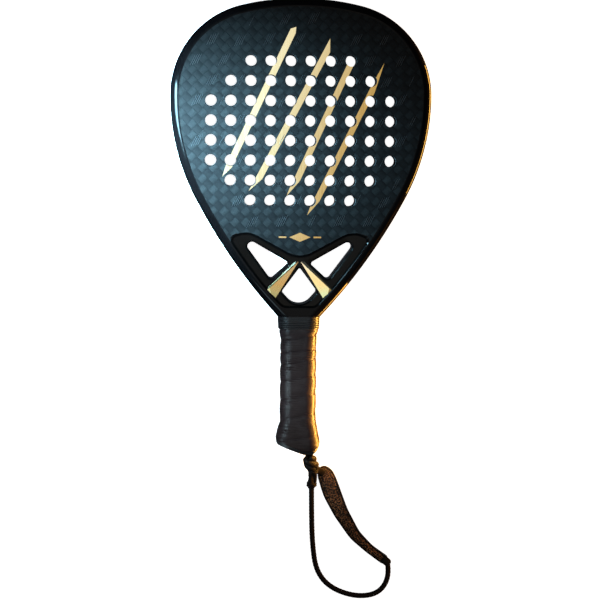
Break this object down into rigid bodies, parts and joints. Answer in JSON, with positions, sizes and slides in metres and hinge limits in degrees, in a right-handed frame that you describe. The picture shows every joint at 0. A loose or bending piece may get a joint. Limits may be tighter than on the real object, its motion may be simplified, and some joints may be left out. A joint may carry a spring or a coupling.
{
  "type": "padel racket",
  "caption": "Teardrop padel racket with drilled faces, open throat, wrapped handle and a wrist strap that swings at the butt.",
  "frame": {"origin": "under the middle of the racket's length and width, on the plane of the back face", "axes": "+X across the head, +Y along the racket from butt to crown, +Z out of the front face"},
  "size_m": [0.2592, 0.6036, 0.038],
  "materials": {
    "rim_lacquer": "clear-lacquered carbon laminate, satin gloss",
    "panel_lacquer": "clear-lacquered carbon laminate, high gloss",
    "face_laminate": "carbon laminate with basket weave and raised ribs",
    "core_foam": "closed-cell EVA foam",
    "gold_foil": "metallic foil under lacquer",
    "gold_trim": "polished gold-coloured trim",
    "shaft_laminate": "bare carbon laminate",
    "handle_foam": "rigid polyurethane foam",
    "base_grip_pu": "polyurethane grip",
    "overgrip_pu": "thin polyurethane wrap, slightly tacky",
    "grip_tape": "adhesive cloth tape",
    "collar_rubber": "ribbed rubber",
    "cap_plastic": "moulded, fine grain",
    "wire_steel": "drawn wire",
    "cord_weave": "braided polyester",
    "pad_knit": "soft knitted lining",
    "pad_core": "soft foam",
    "pad_mesh": "open spacer mesh",
    "pad_edge": "folded woven tape"
  },
  "bodies": {
    "racket": {"frame_tube": "rim_lacquer", "throat_bridge": "panel_lacquer", "eva_core": "core_foam", "face_skin_front": "face_laminate", "face_skin_back": "face_laminate", "foil_slashes_front": "gold_foil", "foil_slashes_back": "gold_foil", "foil_emblem_front": "gold_foil", "throat_wedge_front_right": "gold_trim", "throat_wedge_front_left": "gold_trim", "throat_wedge_back_right": "gold_trim", "throat_wedge_back_left": "gold_trim", "handle_shaft": "shaft_laminate", "handle_shell_front": "handle_foam", "handle_shell_back": "handle_foam", "base_grip": "base_grip_pu", "overgrip": "overgrip_pu", "grip_end_tape": "grip_tape", "grip_collar": "collar_rubber", "butt_cap": "cap_plastic", "cap_staples": "wire_steel", "cord_anchor_pin": "wire_steel"},
    "strap": {"strap_eye": "cord_weave", "strap_whipping": "cord_weave", "strap_knot": "cord_weave", "strap_cord": "cord_weave", "pad_lining": "pad_knit", "pad_foam": "pad_core", "pad_face": "pad_mesh", "pad_binding": "pad_edge", "pad_tongue": "pad_edge", "pad_end_tab": "pad_edge"}
  },
  "joints": [
    {"name": "strap_swing", "type": "hinge", "parent": "racket", "child": "strap", "pos_m": [0.0115, -0.21975, 0.019], "axis": [0, 0, 1], "range_deg": [-30, 25]}
  ]
}
